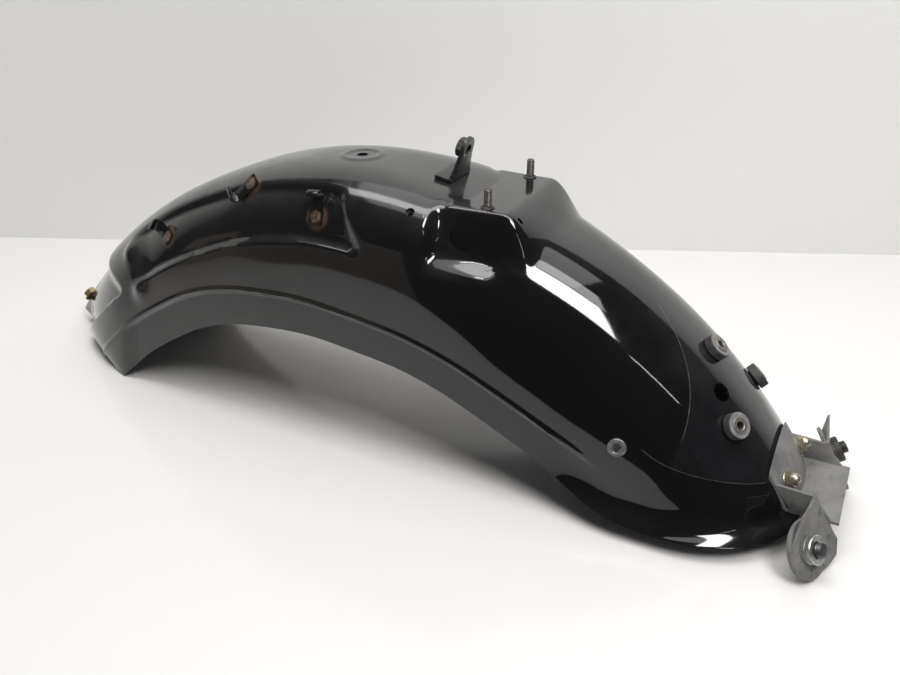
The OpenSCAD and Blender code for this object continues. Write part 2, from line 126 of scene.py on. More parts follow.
def plain(u, v):
    """Point, normal, crown angle, depth and edge height, before any pressing."""
    angle, inset, edge_x, edge_z, half, power = np.moveaxis(key_at(u), -1, 0)
    r = CROWN_R + inset
    cx, cz = r * np.sin(np.radians(angle)), CROWN_Z + r * np.cos(np.radians(angle))
    dx, dz = edge_x - cx, edge_z - cz
    length = np.hypot(dx, dz)
    dx, dz = dx / length, dz / length
    s, c = np.sin(np.abs(v) * math.pi / 2), np.abs(np.cos(np.abs(v) * math.pi / 2))
    q = (s**power + c**power) ** (-1 / power)
    across, down = q * s, q * c
    depth = length * (1 - down)
    ga, gb = across ** (power - 1) / half, down ** (power - 1) / length
    g = np.hypot(ga, gb)
    point = np.stack([cx + dx * depth, np.sign(v) * half * across, cz + dz * depth], -1)
    normal = np.stack([-dx * gb / g, np.sign(v) * ga / g, -dz * gb / g], -1)
    k1, k2 = key_at(np.clip(u - 0.01, 0, LAST)), key_at(np.clip(u + 0.01, 0, LAST))
    tx, tz = k2[..., 2] - k1[..., 2], k2[..., 3] - k1[..., 3]
    height = length * down * np.abs(dx * tz - dz * tx) / np.hypot(tx, tz)
    return point, normal, angle, depth, height


crown_middle = plain(np.array(8.5), np.array(0.0))[0]
print("sections:", len(KEYS), "crown point at the middle:", crown_middle.round(1))

# %% [markdown]
# ## What the press tool adds
# The die pushes the plain form in and out along its normal: a stepped band
# along the lower edge, a flared rim round the tail, a long shallow panel
# under the clips, a pocket below the stud platform and a tongue at the front.
# Each one is a product of S curves, so all their corners are rounded as
# drawn steel is.

# %% Pressed features
BAND_STEP, RIDGE_UP, RIM_FLARE = 2.6, 0.9, 8.5
PANEL_DEPTH, POCKET_DEPTH, TONGUE_STEP = 4.0, 9.0, 8.0
PLATFORM_Z = CROWN_Z + CROWN_R - 10.5


BAND_HEIGHT = 29.0
DISH = (8.24, 0.0)
LENSES = [(-226, 45, 112), (-199, 66, 88)]


def band_line(x):
    """Height of the band's upper edge above the lower edge of the sheet."""
    return BAND_HEIGHT - 3 * smooth(-150, 150, x)


def relief(p):
    """The small marks: a ring boss with a dish, and a lens behind each side of the joggle."""
    r = np.linalg.norm(p - plain(np.array(DISH[0]), np.array(DISH[1]))[0], axis=-1)
    up = 1.0 * (1 - smooth(15.5, 18, r)) - 0.9 * (1 - smooth(10.5, 13, r))
    even = np.stack([p[..., 0], np.abs(p[..., 1]), p[..., 2]], -1)
    for lens in LENSES:
        up = up + 2.6 * np.exp(-((np.linalg.norm(even - np.array(lens, float), axis=-1) / 8.5) ** 2))
    return up


def press(p, angle, depth, height):
    x, y, z = p[..., 0], np.abs(p[..., 1]), p[..., 2]
    line = band_line(x)
    fade = 1 - smooth(175, 225, x)
    band = (1 - smooth(-2, 2, height - line)) * fade * smooth(-228, -205, x)
    ridge = RIDGE_UP * np.exp(-(((height - line - 2) / 2.2) ** 2)) * fade
    flare = np.clip(1 - height / 20, 0, 1) ** 2 * smooth(150, 235, x)
    diagonal = x + (z - 169) * 0.64 - 24
    panel = smooth(8, 14, depth) * (1 - smooth(44, 50, depth))
    panel = panel * (1 - smooth(-5, 5, diagonal)) * smooth(-38, -33, angle)
    pocket = smooth(70, 84, x) * (1 - smooth(120, 136, x))
    pocket = pocket * smooth(160, 180, z) * (1 - smooth(199, 209, z)) * smooth(38, 56, y)
    tongue = (1 - smooth(-47.5, -44.5, angle - 4 * smooth(0, 50, depth))) * (1 - smooth(40, 48, depth))
    outward = relief(p) + ridge + RIM_FLARE * flare
    inward = BAND_STEP * band + PANEL_DEPTH * panel + POCKET_DEPTH * pocket + TONGUE_STEP * tongue
    return outward - inward


def skin(u, v):
    """Finished outer surface in millimetres from the crown's centre, with the plain normal."""
    p, n, angle, depth, height = plain(u, v)
    push = n.copy()
    push[..., 1] *= np.where(u > 3, 1.0, smooth(0, 20, np.abs(p[..., 1])))
    q = p + press(p, angle, depth, height)[..., None] * push
    x, y = q[..., 0], np.abs(q[..., 1])
    platform = smooth(76, 84, x) * (1 - smooth(124, 152, x)) * (1 - smooth(44, 58, y))
    q[..., 2] += platform * np.maximum(0, PLATFORM_Z - q[..., 2])
    return q, n


def spot(u, v):
    """One surface point as a vector in millimetres."""
    return skin(np.array([float(u)]), np.array([float(v)]))[0][0]


def station(u, v, spin=0.0):
    """A placing matrix in metres: z square to the surface, x towards the tail."""
    along = spot(u + 0.03, v) - spot(u - 0.03, v)
    side = spot(u, v + 0.012) - spot(u, v - 0.012) if v else np.array([0.0, 1.0, 0.0])
    z = np.cross(along, side)
    z /= np.linalg.norm(z)
    x = along / np.linalg.norm(along)
    y = np.cross(z, x)
    m = Matrix([[x[i], y[i], z[i], 0] for i in range(3)] + [[0, 0, 0, 1]])
    place = (spot(u, v) - np.array([ORIGIN_X, 0, 0])) * MM
    return Matrix.Translation(Vector(place)) @ m @ Matrix.Rotation(math.radians(spin), 4, "Z")


print("platform height above the floor:", PLATFORM_Z, "mm")

# %% [markdown]
# ## From rule to mesh
# The outer skin is a fine grid over the rule, closer where the platform and
# the pocket are. The inner skin is the same grid one sheet thickness inside,
# with every other line left out because nobody sees it close. A ring of
# faces closes the edge all round, so the pressing is a real solid sheet.
# The grid is worked out in Python and not by a node tree, because its lines
# follow the pressed band, whose place has to be searched for in each section.
# The distance along the crown and round the section is kept as a UV map, so
# that a scratch can be drawn as a thin curve on the flat sheet.

# %% Build the sheet
FINE_V = 88
LINES = 331
SHEET_V = 150.0
BAND_ABOVE, BAND_BELOW = 7.0, 5.0
ABOVE_LINES, BELOW_LINES = 58, 76
PATH_STEPS = 2001
# Where section lines are packed closer: middle, reach and gain, along u
CLOSER = [
    (8.24, 0.45, 2.0),
    (9.9, 0.75, 1.6),
    (11.3, 0.7, 1.6),
    (15.4, 1.1, 1.2),
    (18.2, 0.4, 1.0),
    (3.6, 0.5, 1.2),
    (20.6, 0.5, 1.0),
]


def section_numbers():
    """Section lines packed closer where fittings and sharp features are."""
    u = np.linspace(0, LAST, 4001)
    path = skin(u, np.zeros_like(u))[0]
    weight = np.append(np.linalg.norm(np.diff(path, axis=0), axis=1), 0) / (u[1] - u[0])
    for middle, reach, gain in CLOSER:
        weight = weight + 50 * gain * np.exp(-(((u - middle) / reach) ** 2))
    total = np.concatenate([[0], np.cumsum((weight[1:] + weight[:-1]) / 2)])
    return np.interp(np.linspace(0, total[-1], LINES), total, u)


def mesh_object(name, verts, faces):
    """A new object with its place in its mesh, shaded smooth."""
    mesh = bpy.data.meshes.new(name)
    mesh.from_pydata([tuple(map(float, v)) for v in verts], [], faces)
    mesh.validate()
    mesh.update()
    mesh.polygons.foreach_set("use_smooth", [True] * len(mesh.polygons))
    obj = bpy.data.objects.new(name, mesh)
    bpy.context.scene.collection.objects.link(obj)
    return obj


def to_row(points):
    return (points - np.array([ORIGIN_X, 0, 0])) * MM


def lengthwise_lines(us):
    """For each section, the places round it of the lines that run along the part."""
    v = np.linspace(0, 1, 401)
    found = []
    for u in us:
        p, _, _, _, height = plain(np.full_like(v, u), v)
        above = band_line(p[:, 0]) - height
        high = np.clip(np.interp(-BAND_ABOVE, above, v), 0.35, 0.8)
        found.append((high, np.clip(np.interp(BAND_BELOW, above, v), high + 0.05, 0.95)))
    found = np.array(found)
    wide = np.ones(9) / 9
    high, low = (np.convolve(np.pad(found[:, k], 4, "edge"), wide, "valid") for k in (0, 1))
    t = np.linspace(0, 1, FINE_V + 1)
    marks = [0, ABOVE_LINES / FINE_V, BELOW_LINES / FINE_V, 1]
    half = np.array([np.interp(t, marks, [0, a, b, 1]) for a, b in zip(high, low)])
    return np.concatenate([-half[:, :0:-1], half], 1)


def build_sheet():
    us = section_numbers()
    grid_v = lengthwise_lines(us)
    grid_u = np.broadcast_to(us[:, None], grid_v.shape)
    outer, normal = skin(grid_u, grid_v)
    outer[..., 0] = np.maximum(outer[..., 0], cad_box[0][0] / MM + ORIGIN_X + 0.02)
    inner = (outer - SHEET_T * normal)[::2, ::2]
    nu, nv = outer.shape[:2]
    mu, mv = inner.shape[:2]
    base = nu * nv
    faces = [
        (i * nv + j, (i + 1) * nv + j, (i + 1) * nv + j + 1, i * nv + j + 1)
        for i in range(nu - 1)
        for j in range(nv - 1)
    ]
    faces += [
        tuple(base + k for k in (i * mv + j, i * mv + j + 1, (i + 1) * mv + j + 1, (i + 1) * mv + j))
        for i in range(mu - 1)
        for j in range(mv - 1)
    ]
    ring = [(0, j) for j in range(nv - 1)] + [(i, nv - 1) for i in range(nu - 1)]
    ring += [(nu - 1, j) for j in range(nv - 1, 0, -1)] + [(i, 0) for i in range(nu - 1, 0, -1)]
    for k in range(0, len(ring), 2):
        a, b, c = ring[k], ring[k + 1], ring[(k + 2) % len(ring)]
        back = [base + (p[0] // 2) * mv + p[1] // 2 for p in (c, a)]
        faces.append(tuple([p[0] * nv + p[1] for p in (a, b, c)] + back))
    points = np.concatenate([outer.reshape(-1, 3), inner.reshape(-1, 3)])
    obj = mesh_object("pressed_shell", to_row(points), faces)
    path_u = np.linspace(0, LAST, PATH_STEPS)
    path = skin(path_u, np.zeros(PATH_STEPS))[0]
    run = np.append(0, np.cumsum(np.linalg.norm(np.diff(path, axis=0), axis=1)))
    flat = np.stack([np.interp(grid_u, path_u, run), grid_v * SHEET_V], -1) * MM
    flat = np.concatenate([flat.reshape(-1, 2), flat[::2, ::2].reshape(-1, 2)])
    layer = obj.data.uv_layers.new(name="sheet")
    corners = np.empty(len(obj.data.loops), int)
    obj.data.loops.foreach_get("vertex_index", corners)
    layer.data.foreach_set("uv", flat[corners].ravel())
    outside = (nu - 1) * (nv - 1)
    count = len(obj.data.polygons)
    obj.data.polygons.foreach_set("material_index", [int(k >= outside) for k in range(count)])
    return obj


shell = build_sheet()
print("shell faces:", len(shell.data.polygons))

# %% [markdown]
# ## Holes through the sheet
# The punched holes come after the drawing, as on the real press line. Each
# hole is a cutter standing on a station of the surface, and one exact Boolean
# takes them all out at once. The thin walls it leaves keep the paint's colour.


# %% Punch the holes
def as_object(name, bm):
    mesh = bpy.data.meshes.new(name)
    bm.to_mesh(mesh)
    bm.free()
    obj = bpy.data.objects.new(name, mesh)
    bpy.context.scene.collection.objects.link(obj)
    return obj


def oval_cutter(bm, place, length, width, low, high, count=48):
    """A round ended prism, sizes in millimetres, standing on a station."""
    ring = []
    for z in (low, high):
        for k in range(count):
            t = (k + 0.5) * 2 * math.pi / count
            x = math.cos(t) * width / 2 + math.copysign((length - width) / 2, math.cos(t))
            ring.append(bm.verts.new(place @ Vector((x * MM, math.sin(t) * width / 2 * MM, z * MM))))
    for k in range(count):
        j = (k + 1) % count
        bm.faces.new([ring[k], ring[j], ring[count + j], ring[count + k]])
    bm.faces.new(ring[:count][::-1])
    bm.faces.new(ring[count:])


LAMPS = [(14.72, 0.0), (15.92, -0.29), (15.92, 0.29)]
INSERTS = [(14.669, -0.723), (14.669, 0.723)]
PADS = [(9.648, -0.44), (9.648, 0.44)]
CAPS = [(18.2, -0.185), (18.2, 0.185)]
HOLES = [(10.6, -0.452), (10.6, 0.452)]
SLOT, WIRE, FRONT = (11.43, -0.3), (15.276, -0.205), (0.6, 0.0)
cutters = bmesh.new()
for uv in HOLES:
    oval_cutter(cutters, station(*uv), 20, 17, -10, 10)
for uv in INSERTS:
    oval_cutter(cutters, station(*uv), 9, 9, -6, 6)
for uv in PADS:
    oval_cutter(cutters, station(*uv), 6.6, 6.6, -6, 6)
for uv in LAMPS:
    oval_cutter(cutters, station(*uv), 13, 13, -6, 6)
for uv, size in ((DISH, 9), (WIRE, 13.5), (FRONT, 6.4)):
    oval_cutter(cutters, station(*uv), size, size, -7, 7)
oval_cutter(cutters, station(*SLOT), 5.4, 3.2, -5, 5, 24)
punch = as_object("hole_punches", cutters)
step = shell.modifiers.new("punch", "BOOLEAN")
step.object, step.operation, step.solver = punch, "DIFFERENCE", "EXACT"


def settle(obj):
    """Bakes an object's modifiers into a plain mesh."""
    graph = bpy.context.evaluated_depsgraph_get()
    mesh = bpy.data.meshes.new_from_object(obj.evaluated_get(graph))
    obj.modifiers.clear()
    obj.data = mesh


settle(shell)
bpy.data.objects.remove(punch)
shell.data.set_sharp_from_angle(angle=math.radians(32))
print("faces after punching:", len(shell.data.polygons))

# %% [markdown]
# ## Turned, hexagonal and threaded pieces
# Nearly every fitting is a shape spun round an axis: a washer, a collar, a
# rubber grommet. A hexagon is the same spin with a radius that changes with
# the angle, and a thread is a spin whose groove climbs as it turns. So one
# function that stacks rings makes them all.


# %% One function for everything that is spun
def spun(rings, count=48, closed=True):
    """Rings of (radius, height) in millimetres, each a number or one value per step round."""
    bm = bmesh.new()
    turn = np.arange(count) * 2 * math.pi / count
    rows = []
    for r, z in rings:
        r, z = np.broadcast_to(r, count), np.broadcast_to(z, count)
        if np.all(r < 1e-6):
            rows.append([bm.verts.new((0, 0, float(z[0])))] * count)
        else:
            points = zip(r * np.cos(turn), r * np.sin(turn), z)
            rows.append([bm.verts.new(tuple(map(float, point))) for point in points])
    for i in range(len(rows) if closed else len(rows) - 1):
        a, b = rows[i], rows[(i + 1) % len(rows)]
        for k in range(count):
            corners = [a[k], a[(k + 1) % count], b[(k + 1) % count], b[k]]
            corners = [c for n, c in enumerate(corners) if c not in corners[:n]]
            if len(corners) > 2:
                bm.faces.new(corners)
    bmesh.ops.recalc_face_normals(bm, faces=bm.faces)
    return bm


def tube(outer, bore, low, high, edge=0.3):
    """A ring with its four edges broken."""
    e = edge
    bottom = [(bore, low + e), (bore + e, low), (outer - e, low), (outer, low + e)]
    return spun(bottom + [(outer, high - e), (outer - e, high), (bore + e, high), (bore, high - e)])


def plug(profile, count=48):
    """A solid of revolution from bottom to top, closed at both poles."""
    return spun([(0, profile[0][1])] + profile + [(0, profile[-1][1])], count, closed=False)


def hexagon(flats, bore, low, high, count=48):
    """A nut with both faces chamfered, as a hot forged one has."""
    t = np.degrees(np.arange(count) * 2 * math.pi / count)
    r = flats / 2 / np.cos(np.radians((t + 30) % 60 - 30))
    face = flats * 0.485
    drop = np.maximum(0, r - face) * math.tan(math.radians(28))
    e = 0.4
    bottom = [(bore, low + e), (bore + e, low), (face, low), (r, low + drop)]
    top = [(r, high - drop), (face, high), (bore + e, high), (bore, high - e)]
    return spun(bottom + top, count)


def thread(radius, low, high, pitch, count=36):
    """A threaded rod: the groove's depth follows the height minus the turn."""
    heights = np.arange(low, high, pitch / 6)
    turn = np.arange(count) / count
    rings = []
    for z in heights:
        wave = np.abs(((z / pitch - turn) % 1) * 2 - 1)
        chamfer = max(0.0, z - high + 0.8) + max(0.0, low + 0.3 - z)
        rings.append((radius - 0.55 * pitch * wave - chamfer * 0.8, z))
    return spun([(0, low)] + rings + [(radius - 1.1 - 0.25 * pitch, high), (0, high)], count, closed=False)


def joined(*parts):
    """Several shapes in one."""
    out = bmesh.new()
    for part in parts:
        mesh = bpy.data.meshes.new("part")
        part.to_mesh(mesh)
        part.free()
        out.from_mesh(mesh)
        bpy.data.meshes.remove(mesh)
    return out


def moved(bm, matrix):
    bm.transform(matrix)
    return bm


print("a nut has", len(hexagon(10, 3, 0, 5).faces), "faces")

# %% [markdown]
# ## A small language for finishes
# A finish is a network of nodes, but it reads best as arithmetic. The Wire
# class wraps a socket, so that a + b or 1 - a adds the right Math node. One
# method adds any other node. All patterns read Object coordinates, which are
# the part's own metres, so a mark stays where it is from every side.


# %% Wires and finishes
class Wire:
    def __init__(self, finish, socket):
        self.finish, self.socket = finish, socket

    def math(self, operation, *terms):
        return self.finish.node("ShaderNodeMath", {"operation": operation}, dict(enumerate(terms)))[0]

    def __add__(self, other):
        return self.math("ADD", self, other)

    def __sub__(self, other):
        return self.math("SUBTRACT", self, other)

    def __rsub__(self, other):
        return self.math("SUBTRACT", other, self)

    def __mul__(self, other):
        return self.math("MULTIPLY", self, other)

    def __truediv__(self, other):
        return self.math("DIVIDE", self, other)

    def __rtruediv__(self, other):
        return self.math("DIVIDE", other, self)

    def __pow__(self, other):
        return self.math("POWER", self, other)

    def __abs__(self):
        return self.math("ABSOLUTE", self)

    __radd__, __rmul__ = __add__, __mul__

    def larger(self, other):
        return self.math("MAXIMUM", self, other)

    def rise(self, low, high):
        """0 below low, 1 above high, smooth between them."""
        settings = {"interpolation_type": "SMOOTHSTEP"}
        return self.finish.node("ShaderNodeMapRange", settings, {0: self, 1: low, 2: high})[0]


class Made:
    """A node with its outputs as wires."""

    def __init__(self, finish, node):
        self.finish, self.real = finish, node

    def __getitem__(self, key):
        return Wire(self.finish, self.real.outputs[key])


class Finish:
    def __init__(self, name):
        self.material = bpy.data.materials.new(name)
        self.material.use_nodes = True
        self.tree = self.material.node_tree
        self.shader = self.tree.nodes["Principled BSDF"]
        self.place = self.node("ShaderNodeTexCoord", {}, {})["Object"]
        split = self.node("ShaderNodeSeparateXYZ", {}, {0: self.place})
        self.x, self.y, self.z = split[0], split[1], split[2]

    def node(self, kind, settings, inputs):
        new = self.tree.nodes.new(kind)
        for key, value in settings.items():
            setattr(new, key, value)
        for key, value in inputs.items():
            self.feed(new.inputs[key], value)
        return Made(self, new)

    def feed(self, socket, value):
        if isinstance(value, Wire):
            self.tree.links.new(value.socket, socket)
        else:
            socket.default_value = value

    def noise(self, scale, detail=3.0, roughness=0.55, stretch=(1, 1, 1), offset=(0, 0, 0)):
        mapping = {"Vector": self.place, "Scale": stretch, "Location": offset}
        where = self.node("ShaderNodeMapping", {}, mapping)["Vector"]
        inputs = {"Vector": where, "Scale": scale, "Detail": detail, "Roughness": roughness}
        return self.node("ShaderNodeTexNoise", {}, inputs)[0]

    def facing(self):
        """The direction that the surface faces."""
        return self.node("ShaderNodeNewGeometry", {}, {})["Normal"]

    def distance(self, where, point):
        inputs = {0: where, 1: point}
        return self.node("ShaderNodeVectorMath", {"operation": "DISTANCE"}, inputs)["Value"]

    def near(self, point, inner, outer, squash=(1, 1, 1)):
        """1 within inner metres of a point, 0 beyond outer."""
        p = self.node("ShaderNodeVectorMath", {"operation": "SUBTRACT"}, {0: self.place, 1: tuple(point)})[0]
        p = self.node("ShaderNodeVectorMath", {"operation": "MULTIPLY"}, {0: p, 1: squash})[0]
        length = self.node("ShaderNodeVectorMath", {"operation": "LENGTH"}, {0: p})["Value"]
        return 1 - length.rise(inner, outer)

    def blend(self, mask, a, b):
        """Colour a where the mask is 0, colour b where it is 1."""
        a, b = (c if isinstance(c, Wire) else (*c, 1.0) for c in (a, b))
        return self.node("ShaderNodeMix", {"data_type": "RGBA"}, {0: mask, 6: a, 7: b})[2]

    def bump(self, height, distance, strength=1.0):
        inputs = {"Height": height, "Distance": distance, "Strength": strength}
        return self.node("ShaderNodeBump", {}, inputs)["Normal"]

    def set(self, **sockets):
        for key, value in sockets.items():
            key = {"base": "Base Color"}.get(key, key.replace("_", " ").title())
            if isinstance(value, tuple) and len(value) == 3:
                value = (*value, 1.0)
            self.feed(self.shader.inputs[key], value)
        return self.material


print("finish tools ready")

# %% [markdown]
# ## Gloss black paint, and what years on the road did to it
# The tail is deep gloss, almost a mirror. Towards the front and on top the
# shine is dulled by a film of dust, and round the lamp mountings a purple
# grey haze ends at two curved scratches where a lamp housing used to rub.
# Brown rust has crept out of the clip welds and one stud. Each mark is a mask
# made from distances and noise, and the masks steer colour and roughness.

# %% The paint
CLIPS = [(4.973, -0.494, 130), (6.9, -0.365, 215), (8.198, -0.539, 90)]
# The two long scratches: circles on the flat sheet, in metres along and round it
ARC_ONE, ARC_ONE_R = (0.5432, -0.2245, 0), 0.2437
ARC_TWO, ARC_TWO_R = (0.7246, -0.0165, 0), 0.083
DUST, FLANK_DUST, HAZE = (0.075, 0.073, 0.069), (0.035, 0.034, 0.028), (0.062, 0.05, 0.057)
BARE, RUST, SPECK = (0.22, 0.21, 0.2), (0.10, 0.058, 0.038), (0.2, 0.19, 0.17)


def row_point(u, v):
    return tuple((spot(u, v) - np.array([ORIGIN_X, 0, 0])) * MM)


def black_paint():
    f = Finish("gloss_black_paint")
    up = f.node("ShaderNodeSeparateXYZ", {}, {0: f.facing()})[2]
    cloud = f.noise(14, 4, 0.6)
    grit = f.noise(900, 2, 0.7)
    streak = f.noise(60, 3, 0.7, (0.25, 1, 1))
    front = 1 - f.x.rise(-0.05, 0.16)
    film = up.rise(0.25, 0.95) * (0.35 + 0.65 * front) * cloud.rise(0.25, 0.75)
    side_film = front * (0.25 + 0.35 * streak)
    sheet = f.node("ShaderNodeUVMap", {"uv_map": "sheet"}, {})["UV"]
    flat = f.node("ShaderNodeSeparateXYZ", {}, {0: sheet})
    run, across = flat[0], flat[1]
    ring_one = f.distance(sheet, ARC_ONE) - ARC_ONE_R
    ring_two = f.distance(sheet, ARC_TWO) - ARC_TWO_R
    inside = ring_one.rise(-0.001, 0.0015) * (1 - ring_two.rise(-0.0015, 0.001))
    haze = inside * (0.35 + 0.65 * f.noise(40, 4, 0.65).rise(0.3, 0.7))
    wear = f.noise(300, 3, 0.6).rise(0.35, 0.6)
    line_one = (1 - abs(ring_one).rise(0.0001, 0.0006)) * run.rise(0.652, 0.66)
    line_one = line_one * (1 - across.rise(-0.012, -0.006)) * across.rise(-0.082, -0.074)
    line_two = (1 - abs(ring_two).rise(0.0001, 0.0005)) * run.rise(0.722, 0.727)
    line_two = line_two * (1 - across.rise(-0.05, -0.042))
    scuff = f.noise(420, 1, 0.4, (0.05, 1, 1)).rise(0.74, 0.8)
    scuff = scuff * f.noise(18, 2, 0.5, (1, 1, 1), (3, 1, 2)).rise(0.52, 0.64)
    scratch = line_one.larger(line_two * 0.8) * (0.5 + 0.5 * wear)
    scratch = scratch.larger(scuff * 0.25)
    rust = None
    for u, v, spin in CLIPS:
        spread = f.near(row_point(u, v), 0.0055, 0.0115) * (0.35 + 0.9 * f.noise(260, 3, 0.6)).rise(0.35, 0.75)
        rust = spread if rust is None else rust.larger(spread)
    stud = spot(10.78, 0) + np.array([-ORIGIN_X, -39, 0])
    rust = rust.larger(f.near(stud * MM, 0.0062, 0.009) * f.noise(300, 3, 0.6).rise(0.35, 0.7) * 0.8)
    base = f.blend(film * 0.5, (0.0035, 0.0035, 0.004), DUST)
    base = f.blend(side_film * 0.3, base, FLANK_DUST)
    base = f.blend(haze * 0.13, base, HAZE)
    base = f.blend(scratch * 0.32, base, BARE)
    base = f.blend(rust, base, RUST)
    speck = grit.rise(0.68, 0.78) * (film + haze).rise(0.1, 0.5)
    base = f.blend(speck * 0.35, base, SPECK)
    rough = 0.045 + film * 0.28 + side_film * 0.07 + haze * 0.05 + scratch * 0.2 + rust * 0.5
    peel = f.noise(180, 2, 0.5) * 0.5 + rust * f.noise(700, 3, 0.6) * 8 + scratch * 0.4
    normal = f.bump(peel, 0.00006, 0.5)
    return f.set(base=base, roughness=rough, coat_weight=0.4, coat_roughness=0.05, normal=normal)


def underside_paint():
    f = Finish("dusty_underside")
    mud = f.noise(18, 5, 0.6).rise(0.35, 0.7)
    fine = f.noise(350, 3, 0.6)
    base = f.blend(mud * 0.7, (0.004, 0.004, 0.0042), (0.016, 0.0145, 0.0125))
    base = f.blend(fine.rise(0.62, 0.75) * 0.4, base, (0.06, 0.055, 0.046))
    return f.set(base=base, roughness=0.7 + 0.2 * mud, normal=f.bump(fine + mud, 0.0002, 0.4))


def finish_piece(obj, node_names, slot_name, *materials):
    """Gives a piece its finish and its body, and hides the solids it stands for; slot_name is not used."""
    for material in materials:
        if material.name not in [m.name for m in obj.data.materials if m]:
            obj.data.materials.append(material)
    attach(obj, "root")
    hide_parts(*node_names)
    print(obj.name, len(obj.data.polygons), "faces")


finish_piece(shell, ["mudguard_shell"], "black_paint", black_paint(), underside_paint())

# %% [markdown]
# ## Finishes of the fittings
# Small steel pieces share one recipe: two tones mixed by a cloudy noise, a
# fine grain in the bump, and rust where a second noise is high. Only the
# numbers differ between a tarnished stud, a clean collar and a yellow bolt.


# %% Recipes for metal, rubber and bracket paint
def metal(name, bright, dull, rough, metallic=1.0, rust=0.0, scale=120.0, coarse=0.3):
    f = Finish(name)
    cloud = f.noise(scale, 4, 0.6).rise(0.3, 0.7)
    grain = f.noise(scale * 9, 2, 0.6)
    base = f.blend(cloud, bright, dull)
    base = f.blend(grain.rise(0.6, 0.75) * 0.3, base, tuple(c * 0.5 for c in dull))
    bloom = f.noise(scale * 1.7, 4, 0.7, (1, 1, 1), (5, 2, 1))
    bloom = bloom.rise(0.62 - 0.25 * rust, 0.78 - 0.25 * rust) * min(1.0, rust * 2)
    base = f.blend(bloom, base, (0.13, 0.062, 0.032))
    return f.set(
        base=base,
        roughness=rough + 0.2 * cloud + 0.35 * bloom,
        metallic=metallic * (1 - 0.85 * bloom),
        normal=f.bump(grain + bloom * 2, 0.00008 * (1 + coarse), coarse),
    )


LAMP_AXIS = (0.68, 0.0, 0.73)


def rubber():
    f = Finish("grommet_rubber")
    dust = f.noise(130, 4, 0.65).rise(0.35, 0.75)
    grain = f.noise(1500, 2, 0.5)
    inputs = {0: f.facing(), 1: LAMP_AXIS}
    face = f.node("ShaderNodeVectorMath", {"operation": "DOT_PRODUCT"}, inputs)["Value"]
    top = face.rise(0.72, 0.92)
    base = f.blend(dust, (0.022, 0.021, 0.021), (0.07, 0.065, 0.062))
    base = f.blend(top * (0.6 + 0.4 * dust), base, (0.26, 0.25, 0.245))
    return f.set(base=base, roughness=0.55 + 0.3 * dust, normal=f.bump(grain, 0.00008, 0.35))


def bracket_paint():
    f = Finish("weathered_bracket_paint")
    cloud = f.noise(45, 5, 0.65).rise(0.3, 0.72)
    pits = f.noise(620, 3, 0.65)
    dark = f.noise(95, 4, 0.7, (1, 1, 1), (2, 4, 1)).rise(0.55, 0.7)
    base = f.blend(cloud, (0.135, 0.133, 0.13), (0.215, 0.21, 0.2))
    base = f.blend(dark * 0.6, base, (0.05, 0.05, 0.05))
    base = f.blend(pits.rise(0.6, 0.72) * 0.4, base, (0.3, 0.29, 0.27))
    low = 1 - f.z.rise(0.0, 0.03)
    base = f.blend(low * f.noise(260, 4, 0.7).rise(0.5, 0.62) * 0.6, base, (0.035, 0.035, 0.036))
    normal = f.bump(pits + cloud * 0.5, 0.00025, 0.55)
    return f.set(base=base, roughness=0.5 + 0.25 * cloud, metallic=0.15, normal=normal)


def stud_steel():
    """Grey brown threads on a foot that was painted with the sheet."""
    f = Finish("stud_steel")
    cloud = f.noise(260, 4, 0.6).rise(0.3, 0.7)
    painted = 1 - f.z.rise(PLATFORM_Z * MM + 0.0014, PLATFORM_Z * MM + 0.0026)
    rust = f.noise(420, 3, 0.7).rise(0.52, 0.68) * (0.35 + 0.65 * painted)
    base = f.blend(cloud, (0.16, 0.14, 0.125), (0.085, 0.07, 0.062))
    base = f.blend(painted, base, (0.008, 0.008, 0.008))
    base = f.blend(rust * 0.7, base, (0.1, 0.055, 0.035))
    normal = f.bump(cloud, 0.0001, 0.4)
    return f.set(base=base, roughness=0.36 + 0.4 * rust, metallic=0.8 * (1 - painted), normal=normal)


def clip_steel():
    """Gloss black hooks with brown spot welded pads."""
    f = Finish("clip_black_paint")
    grain = f.noise(380, 4, 0.65)
    pads = None
    for u, v, _ in CLIPS:
        weld = f.near(row_point(u, v), 0.0036, 0.0062)
        pads = weld if pads is None else pads.larger(weld)
    pads = pads * (0.55 + 0.45 * grain.rise(0.35, 0.55))
    base = f.blend(grain.rise(0.6, 0.75) * 0.3, (0.008, 0.008, 0.008), (0.06, 0.045, 0.036))
    base = f.blend(pads, base, f.blend(grain.rise(0.4, 0.65), (0.07, 0.045, 0.032), (0.17, 0.125, 0.09)))
    return f.set(base=base, roughness=0.16 + 0.5 * pads, normal=f.bump(grain * (0.2 + pads), 0.00015, 0.5))


stud_metal = stud_steel()
tab_black = metal("tab_black_paint", (0.012, 0.012, 0.012), (0.032, 0.03, 0.028), 0.24, 0.0, 0.06, 150)
clip_black = clip_steel()
dark_metal = metal("dark_steel", (0.11, 0.105, 0.1), (0.06, 0.055, 0.05), 0.42, 0.7, 0.12, 160)
sleeve_metal = metal("sleeve_zinc", (0.36, 0.34, 0.3), (0.22, 0.2, 0.17), 0.36, 0.85, 0.08, 240)
insert_metal = metal("insert_ring_metal", (0.3, 0.3, 0.3), (0.16, 0.16, 0.165), 0.35, 0.8, 0.04, 260)
nickel = metal("nickel_cap_nut", (0.52, 0.47, 0.36), (0.34, 0.3, 0.22), 0.27, 0.95, 0.1, 200)
bolt_metal = metal("bolt_dark_steel", (0.14, 0.14, 0.14), (0.07, 0.07, 0.07), 0.36, 0.8, 0.06, 220)
collar_metal = metal("collar_aluminium", (0.62, 0.62, 0.61), (0.42, 0.42, 0.41), 0.26, 0.95, 0.0, 160)
